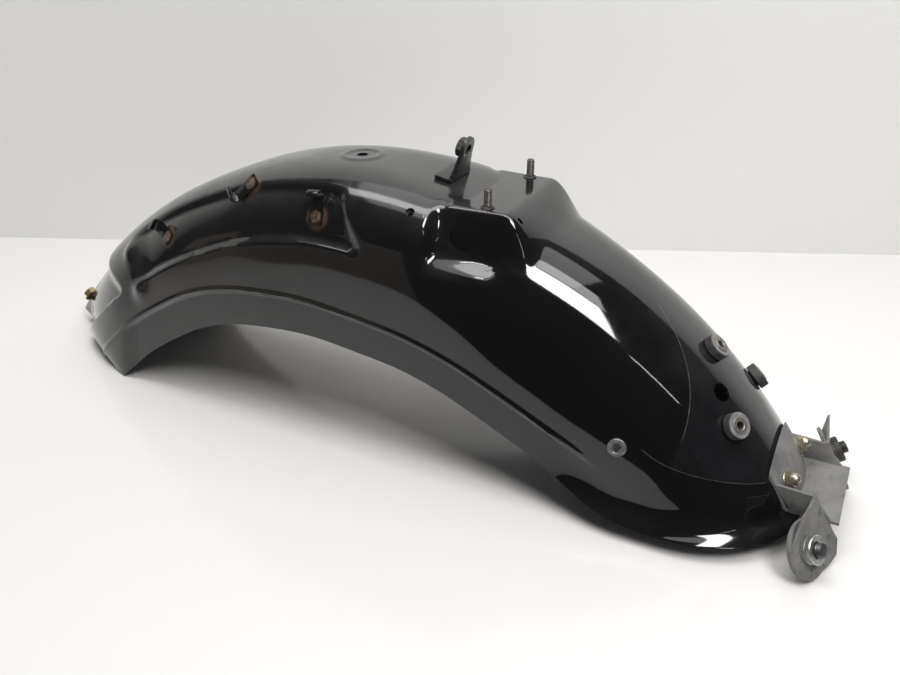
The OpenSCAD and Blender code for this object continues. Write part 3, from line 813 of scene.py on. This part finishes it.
zinc = metal("yellow_zinc", (0.5, 0.41, 0.18), (0.3, 0.25, 0.13), 0.3, 0.9, 0.12, 260)
rubber_black = rubber()
bracket_grey = bracket_paint()
print("finishes:", len(bpy.data.materials))

# %% [markdown]
# ## Setting a piece on its stations
# The same nut, grommet or stud appears at two or three stations. A small
# Geometry Nodes tree does what a jig does: it takes points that carry a turn,
# puts the piece on each one, makes the copies real and gives them their
# finish. The result becomes one plain mesh.


# %% The jig
def turned_points(name, places):
    """A mesh of bare points, each with the turn of its station."""
    mesh = bpy.data.meshes.new(name)
    mesh.from_pydata([p.translation for p in places], [], [])
    turns = mesh.attributes.new("turn", "FLOAT_VECTOR", "POINT")
    for k, p in enumerate(places):
        turns.data[k].vector = p.to_euler("XYZ")
    obj = bpy.data.objects.new(name, mesh)
    bpy.context.scene.collection.objects.link(obj)
    return obj


def jig_tree():
    tree = bpy.data.node_groups.new("set_on_stations", "GeometryNodeTree")
    inputs = {"Stations": "Geometry", "Piece": "Object", "Size": "Float", "Finish": "Material"}
    for label, kind in inputs.items():
        tree.interface.new_socket(label, in_out="INPUT", socket_type="NodeSocket" + kind)
    tree.interface.new_socket("Result", in_out="OUTPUT", socket_type="NodeSocketGeometry")
    add = tree.nodes.new
    enter, leave = add("NodeGroupInput"), add("NodeGroupOutput")
    info, turn = add("GeometryNodeObjectInfo"), add("GeometryNodeInputNamedAttribute")
    copy, real = add("GeometryNodeInstanceOnPoints"), add("GeometryNodeRealizeInstances")
    paint = add("GeometryNodeSetMaterial")
    turn.data_type = "FLOAT_VECTOR"
    turn.inputs["Name"].default_value = "turn"
    link = tree.links.new
    link(enter.outputs["Piece"], info.inputs["Object"])
    link(enter.outputs["Stations"], copy.inputs["Points"])
    link(info.outputs["Geometry"], copy.inputs["Instance"])
    link(turn.outputs["Attribute"], copy.inputs["Rotation"])
    link(enter.outputs["Size"], copy.inputs["Scale"])
    link(copy.outputs["Instances"], real.inputs["Geometry"])
    link(real.outputs["Geometry"], paint.inputs["Geometry"])
    link(enter.outputs["Finish"], paint.inputs["Material"])
    link(paint.outputs["Geometry"], leave.inputs["Result"])
    return tree


JIG = jig_tree()


def set_on(name, shape, places, material, node_names, slot_name, sharp=30):
    """Makes one piece from a shape in millimetres, repeated at every place."""
    master = as_object(name + "_master", shape)
    obj = turned_points(name, places)
    step = obj.modifiers.new("jig", "NODES")
    step.node_group = JIG
    sockets = [item for item in JIG.interface.items_tree if item.item_type == "SOCKET"]
    keys = {item.name: item.identifier for item in sockets if item.in_out == "INPUT"}
    step[keys["Piece"]], step[keys["Size"]], step[keys["Finish"]] = master, MM, material
    settle(obj)
    bpy.data.objects.remove(master)
    obj.data.polygons.foreach_set("use_smooth", [True] * len(obj.data.polygons))
    obj.data.set_sharp_from_angle(angle=math.radians(sharp))
    finish_piece(obj, node_names, slot_name, material)
    return obj


print("jig inputs:", [item.name for item in JIG.interface.items_tree])

# %% [markdown]
# ## Weld studs and the upright tab
# Two threaded studs stand on the flat platform to hold a seat or a rack. Each
# has a round weld foot. The tab is a bent strip with a rounded top, a hole
# and a nut welded to its front face.

# %% Studs
def stud_place(side):
    at = (spot(10.78, 0) + np.array([-ORIGIN_X, 39.0 * side, 0])) * MM
    return Matrix.Translation(Vector(at))


foot = plug([(4.9, 0.3), (5.0, 0.5), (4.7, 0.8), (3.9, 1.1), (3.3, 1.5), (3.1, 2.0)])
stud = joined(foot, thread(3.0, 1.6, 14.0, 1.0))
stud_places = [stud_place(-1), stud_place(1)]
set_on("platform_studs", stud, stud_places, stud_metal, ["stud_left", "stud_right"], "stud_steel")

# %% Tab: an outline with a rounded head, given thickness and broken edges
def plate(outline, hole, thickness, edge=0.3):
    """A flat plate from an outline with one round hole, in millimetres, standing on z = 0."""
    bm = bmesh.new()
    rings = []
    for z in (0.0, thickness):
        loops = []
        for loop in (outline, hole):
            verts = [bm.verts.new((x, y, z)) for x, y in loop]
            edges = [bm.edges.new((verts[k], verts[(k + 1) % len(verts)])) for k in range(len(verts))]
            loops.append((edges, verts))
        bmesh.ops.triangle_fill(bm, edges=loops[0][0] + loops[1][0], use_beauty=True)
        rings.append([verts for _, verts in loops])
    for low, high in zip(*rings):
        for k in range(len(low)):
            j = (k + 1) % len(low)
            bm.faces.new([low[k], low[j], high[j], high[k]])
    bmesh.ops.recalc_face_normals(bm, faces=bm.faces)
    rim = [e for e in bm.edges if len(e.link_faces) == 2 and e.calc_face_angle(0) > 1.2]
    bmesh.ops.bevel(bm, geom=rim, offset=edge, segments=2, profile=0.5, affect="EDGES")
    return bm


def arc(cx, cy, r, start, end, count):
    turns = np.radians(np.linspace(start, end, count))
    return [(cx + r * math.cos(a), cy + r * math.sin(a)) for a in turns]


TAB_HEIGHT, TAB_HEAD_R, TAB_T, TAB_LEAN = 31, 9.5, 2.6, 6
HEAD = TAB_HEIGHT - TAB_HEAD_R
TAB_HOLE = arc(0, HEAD, 4.0, 0, 337.5, 16)
on_foot = Matrix.Translation((7 - TAB_T, 0, 1.8)) @ Matrix.Rotation(math.radians(TAB_LEAN), 4, "Y")
tab_head = arc(0, HEAD, TAB_HEAD_R, 0, 180, 17)
tab_outline = [(-16, 0), (16, 0), (13.5, 5), (9.9, 16)] + tab_head + [(-9.9, 16), (-13.5, 5)]
upright = moved(plate(tab_outline, TAB_HOLE, TAB_T), Matrix(((0, 0, 1), (1, 0, 0), (0, 1, 0))).to_4x4())
upright = moved(upright, on_foot)
foot_outline = [(-7, -16.2), (-6.2, -17), (6.2, -17), (7, -16.2), (7, 16.2), (6.2, 17), (-6.2, 17), (-7, 16.2)]
tab_foot = moved(plate(foot_outline, [], TAB_T), Matrix.Translation((0, 0, SEAT_UP)))
set_on("seat_tab_plate", joined(tab_foot, upright), [station(9.69, 0)], tab_black, ["seat_tab"], "tab_paint")
at_hole = Matrix.Translation((0, 0, HEAD)) @ Matrix.Rotation(math.radians(-90), 4, "Y")
nut = moved(hexagon(12.8, 3.05, 0, 5), on_foot @ at_hole)
set_on("tab_weld_nut", nut, [station(9.69, 0)], dark_metal, ["seat_tab_nut"], "dark_steel")

# %% [markdown]
# ## Wire clips
# Three strips of thin steel hold the wiring along the left shoulder. Each is
# spot welded through a small square foot, rises a little and curls over like
# a J. The strip is a path with a thickness, stretched across its width.

# %% Clips
def strip(path, thickness, width):
    """A bent strip: the path is its lower line in the x z plane."""
    path = np.array(path, float)
    along = np.gradient(path, axis=0)
    along /= np.linalg.norm(along, axis=1)[:, None]
    up = np.stack([-along[:, 1], along[:, 0]], -1) * thickness
    outline = [tuple(p) for p in path] + [tuple(p) for p in (path + up)[::-1]]
    bm = plate(outline, [], width, 0.25)
    return moved(bm, Matrix(((1, 0, 0, 0), (0, 0, -1, width / 2), (0, 1, 0, 0), (0, 0, 0, 1))))


def clip_shape():
    curl = arc(14, 5.4, 5.4, -90, 96, 22)
    path = [(5.0, 0.0), (9.0, 0.0)] + [(x, y) for x, y in curl]
    pad = plate([(-6, -5), (-5, -6), (5, -6), (6, -5), (6, 5), (5, 6), (-5, 6), (-6, 5)], [], 1.2, 0.3)
    return joined(pad, strip(path, 1.2, 10.0))


lift = Matrix.Translation((0, 0, SEAT_UP * MM))
for (u, v, spin), where in zip(CLIPS, ("front", "middle", "rear")):
    place = [station(u, v, spin) @ lift]
    set_on("wire_clip_strip_" + where, clip_shape(), place, clip_black, ["wire_clip_" + where], "clip_paint")

# %% [markdown]
# ## Lamp mountings
# A thick rubber grommet grips the edge of each hole and keeps vibration from
# the lamp. A steel sleeve with a flat head lines it, so that a bolt can be
# tightened without crushing the rubber.

# %% Grommets, sleeves, ring inserts and welded nuts
inner_lip = [(4.25, -5.4), (4.45, -5.6), (7.2, -5.6), (7.6, -5.2), (7.6, -2.5), (7.3, -SEAT_DOWN)]
waist = [(6.4, -SEAT_DOWN), (6.4, SEAT_UP)]
outer_lip = [(8.9, SEAT_UP), (9.3, 0.9), (9.3, 6.1), (9.1, 6.6), (8.6, 6.95)]
outer_lip += [(8.0, 7.0), (4.45, 7.0), (4.25, 6.8)]
grommet = spun(inner_lip + waist + outer_lip)
LAMP_PLACES = [station(*uv) for uv in LAMPS]
grommet_nodes = ["lamp_grommet_top", "lamp_grommet_left", "lamp_grommet_right"]
set_on("lamp_grommets", grommet, LAMP_PLACES, rubber_black, grommet_nodes, "grommet_rubber")
sleeve_tube = [(2.95, -5.55), (3.1, -5.6), (4.05, -5.6), (4.2, -5.4), (4.2, 7.0)]
sleeve_head = [(5.6, 7.0), (5.8, 7.15), (5.8, 7.6), (5.55, 7.8), (3.4, 7.8), (2.9, 7.4)]
sleeve_nodes = ["lamp_sleeve_top", "lamp_sleeve_left", "lamp_sleeve_right"]
set_on("lamp_sleeves", spun(sleeve_tube + sleeve_head), LAMP_PLACES, sleeve_metal, sleeve_nodes, "sleeve_steel")
rim = tube(6.5, 3.9, SEAT_UP, 2.1, 0.35)
ring = joined(rim, spun([(3.1, -SEAT_DOWN), (4.4, -SEAT_DOWN), (4.4, 1.3), (3.1, 1.3)]))
ring_places, ring_nodes = [station(*uv) for uv in INSERTS], ["side_insert_left", "side_insert_right"]
set_on("side_ring_inserts", ring, ring_places, insert_metal, ring_nodes, "insert_metal")
pad_places, pad_nodes = [station(*uv) for uv in PADS], ["pad_nut_left", "pad_nut_right"]
set_on("pad_weld_nuts", tube(5.0, 2.5, -7.7, -2.7, 0.4), pad_places, dark_metal, pad_nodes, "dark_steel")

# %% [markdown]
# ## Tail bracket and its fasteners
# The bracket is a pressed plate with a saddle that follows the tail, a flat
# web and two wings that carry lamp stems. Its solid in the frame already has
# the right shape, so a merged copy of it gets rounded edges here. Two cap
# nuts hold it, and a bolt with a collar goes through each wing.

# %% Bracket
def softened_copy(name, node, width, angle=28):
    mesh = nodes[node].data.copy()
    bm = bmesh.new()
    bm.from_mesh(mesh)
    bmesh.ops.remove_doubles(bm, verts=bm.verts, dist=0.00001)
    bmesh.ops.dissolve_limit(bm, angle_limit=math.radians(0.6), verts=bm.verts, edges=bm.edges)
    bm.to_mesh(mesh)
    bm.free()
    mesh.materials.clear()
    obj = bpy.data.objects.new(name, mesh)
    bpy.context.scene.collection.objects.link(obj)
    step = obj.modifiers.new("edges", "BEVEL")
    step.width, step.segments = width * MM, 2
    step.limit_method, step.angle_limit = "ANGLE", math.radians(angle)
    step.use_clamp_overlap = True
    settle(obj)
    obj.data.polygons.foreach_set("use_smooth", [True] * len(obj.data.polygons))
    obj.data.set_sharp_from_angle(angle=math.radians(30))
    return obj


bracket = softened_copy("tail_bracket_plate", "tail_bracket", 0.5)
finish_piece(bracket, ["tail_bracket"], "bracket_paint", bracket_grey)

# %% Cap nuts and their studs
dome = [(4.55 * math.cos(a), 7.9 + 4.55 * math.sin(a)) for a in np.linspace(0, math.pi / 2, 12)[:-1]]
top = plug([(4.6, 7.0), (4.6, 7.8)] + dome + [(0.35, 12.45)])
cap = joined(tube(6.6, 3.2, 2.9, 3.9, 0.25), hexagon(10.0, 3.1, 3.9, 7.9), top)
CAP_PLACES = [station(*uv) for uv in CAPS]
set_on("bracket_cap_nuts", cap, CAP_PLACES, nickel, ["cap_nut_left", "cap_nut_right"], "nickel_nut")
head = plug([(5.6, -5.2), (6.0, -4.8), (6.0, -3.2), (5.8, -3.0), (3.0, -3.0), (3.0, 6.8)])
set_on("bracket_studs", head, CAP_PLACES, dark_metal, ["cap_stud_left", "cap_stud_right"], "dark_steel")

# %% Bolts, collars and nuts in the wings
fold_a, fold_b, wing_c = Vector((350, 36, 42)), Vector((364, 36, 18)), Vector((353, 62, 17.8))
wing_n = (fold_b - fold_a).cross(wing_c - fold_a).normalized()
wing_e = Vector((-wing_n.y, wing_n.x, 0)).normalized()
wing_f = wing_n.cross(wing_e)


def wing_place(side):
    """The plane of a wing, with z outwards and y mirrored for the left side."""
    cols = [wing_e, wing_f, wing_n]
    m = Matrix([[c[i] for c in cols] for i in range(3)]).to_4x4()
    if side < 0:
        flip = Matrix.Diagonal((1, -1, 1, 1))
        m = flip @ m @ Matrix.Diagonal((1, -1, 1, 1))
    at = Vector((wing_c.x - ORIGIN_X, wing_c.y * side, wing_c.z)) * MM
    return Matrix.Translation(at) @ m


WINGS = [wing_place(-1), wing_place(1)]
shank = plug([(4.4, -9), (4.9, -8.5), (4.9, 2.4), (4.7, 2.5), (4.7, 10.2)])
wing_bolt = joined(thread(4.9, 9.9, 14.4, 1.25, 48), shank)
set_on("wing_bolts", wing_bolt, WINGS, bolt_metal, ["wing_bolt_left", "wing_bolt_right"], "bolt_steel")
collar_foot = [(5.0, 2.5), (5.2, 2.4), (9.4, 2.4), (9.7, 2.7), (9.7, 5.6), (9.4, 5.8)]
collar_head = [(9.4, 6.2), (9.7, 6.4), (9.7, 9.4), (9.2, 9.9), (6.2, 9.9), (5.0, 9.0)]
# The right collar is the same aluminium as the left. It gets the dark steel finish as painted shade, which
# stands for the shadow it sits in.
for k, (side_name, finish) in enumerate((("left", collar_metal), ("right", dark_metal))):
    name = "wing_collar_" + side_name
    set_on(name + "_ring", spun(collar_foot + collar_head), [WINGS[k]], finish, [name], "collar_aluminium")
wing_nut = hexagon(16.4, 5.05, -5, 0)
set_on("wing_nuts", wing_nut, WINGS, dark_metal, ["wing_nut_left", "wing_nut_right"], "dark_steel")

# %% [markdown]
# ## Front fixing
# A small flanged bolt in yellow zinc holds the front tip to the frame, with a
# plain nut inside.

# %% Front bolt and nut
flange = plug([(7.2, 0.5), (7.5, 0.8), (7.4, 1.4), (5.4, 1.9)])
flange_bolt = joined(flange, hexagon(10, 0.02, 1.9, 6.3), thread(2.9, -10.2, 1.0, 1.0))
set_on("front_flange_bolt", flange_bolt, [station(*FRONT)], zinc, ["front_bolt"], "yellow_zinc")
inner_nut = hexagon(11.0, 3.0, -8.4, -3.4)
set_on("front_inner_nut", inner_nut, [station(*FRONT)], dark_metal, ["front_nut"], "dark_steel")

# %% [markdown]
# ## The studio
# The part stands on a glossy pale table with a pale wall behind it, and both
# run at a slant to the part. Gloss black shows its surroundings more than its
# own colour, so their places matter: a soft box high on the right draws the
# bright bar on the shoulder, a thin strip draws the line below it, a small
# box lights the pocket's rim, and a dim brown room behind the camera keeps
# the flank dark.

# %% Table and wall
def flat_card(name, corners, material):
    mesh = bpy.data.meshes.new(name)
    mesh.from_pydata(corners, [], [tuple(range(len(corners)))])
    mesh.materials.append(material)
    obj = bpy.data.objects.new(name, mesh)
    bpy.context.scene.collection.objects.link(obj)
    return obj


def studio_surface(name, colour, rough):
    return Finish(name).set(base=colour, roughness=rough)


UNDER = -0.0002
WALL_H, FAR = 0.8, 2.2
WALL_MID, WALL_RUN = np.array([-0.121, 0.342]), np.array([0.908, 0.419])
EDGE_MID = np.array([-0.06, -0.42])
near_left, near_right = (tuple(EDGE_MID + side * FAR * WALL_RUN) for side in (-1, 1))
far_left, far_right = (tuple(WALL_MID + side * FAR * WALL_RUN) for side in (-1, 1))
table_top = [(*p, UNDER) for p in (near_left, near_right, far_right, far_left)]
flat_card("table_top", table_top, studio_surface("pale_table", (0.72, 0.705, 0.685), 0.14))
wall = [(*far_left, UNDER), (*far_right, UNDER), (*far_right, WALL_H), (*far_left, WALL_H)]
flat_card("back_wall", wall, studio_surface("pale_wall", (0.86, 0.852, 0.835), 0.6))
glow = {"emission_color": (0.9, 0.82, 0.74), "emission_strength": 0.12}
room = Finish("brown_room").set(base=(0.2, 0.17, 0.15), roughness=0.8, **glow)
ROOM = [(-1.35, -0.62, -0.35), (-0.55, -1.3, -0.35), (-0.55, -1.3, 0.28), (-1.35, -0.62, 0.28)]
flat_card("dim_room", ROOM, room)

# %% Lamps
def soft_box(name, at, aim, size_x, size_y, watts, colour=(1, 1, 1), along=(1, 0, 0)):
    lamp = bpy.data.lights.new(name, "AREA")
    lamp.shape, lamp.size, lamp.size_y = "RECTANGLE", size_x, size_y
    lamp.energy, lamp.color = watts, colour
    obj = bpy.data.objects.new(name, lamp)
    bpy.context.scene.collection.objects.link(obj)
    back = (Vector(at) - Vector(aim)).normalized()
    side = Vector(along)
    side = (side - back * side.dot(back)).normalized()
    up = back.cross(side)
    obj.matrix_world = Matrix.Translation(at) @ Matrix([[side[i], up[i], back[i]] for i in range(3)]).to_4x4()
    return obj


soft_box("overhead_box", (0.83, -0.646, 1.4), (0.15, 0.0, 0.1), 0.44, 0.55, 15)
STRIP_RUN = (0.305, 0.13, -0.237)
soft_box("side_strip", (1.268, -0.875, 0.989), (0.25, 0.0, 0.1), 0.41, 0.02, 0.35, along=STRIP_RUN)
soft_box("front_box", (0.0, -0.45, 1.45), (0.05, 0.0, 0.15), 0.16, 0.1, 0.7)
soft_box("wide_ceiling", (0.0, 0.1, 2.3), (0, 0, 0), 2.6, 2.2, 30, (0.97, 0.985, 1))
soft_box("wall_wash", (0.0, -0.2, 1.9), (0, 0.62, 0.3), 2.6, 0.5, 20)
world = bpy.data.worlds.new("dark_room")
world.use_nodes = True
bpy.context.scene.world = world
backdrop = world.node_tree.nodes["Background"]
backdrop.inputs["Color"].default_value = (0.9, 0.92, 1.0, 1.0)
backdrop.inputs["Strength"].default_value = 0.06
bpy.context.scene.view_settings.view_transform = "Standard"

# %% [markdown]
# ## The camera
# Its place and lens were solved from points of the part whose sizes are
# known. The upper part of the frame is the photograph, so the lens is shifted
# a little to keep its optical centre above the middle of the frame.

# %% Camera
camera = bpy.data.cameras.new("photo_camera")
camera.lens, camera.sensor_width, camera.shift_y = 38.0, 36.0, -37.5 / 900
camera.clip_start = 0.01
eye = bpy.data.objects.new("photo_camera", camera)
bpy.context.scene.collection.objects.link(eye)
EYE_AT = Vector((359.7 - ORIGIN_X, -608.1, 428.2)) * MM
right, above = Vector((0.896, 0.444, 0.0103)), Vector((-0.198, 0.3786, 0.9042))
behind = Vector((0.3975, -0.8121, 0.4271))
turned = Matrix([[right[i], above[i], behind[i]] for i in range(3)]).to_4x4()
eye.matrix_world = Matrix.Translation(EYE_AT) @ turned
bpy.context.scene.camera = eye
print("camera at", tuple(round(v, 3) for v in eye.location))
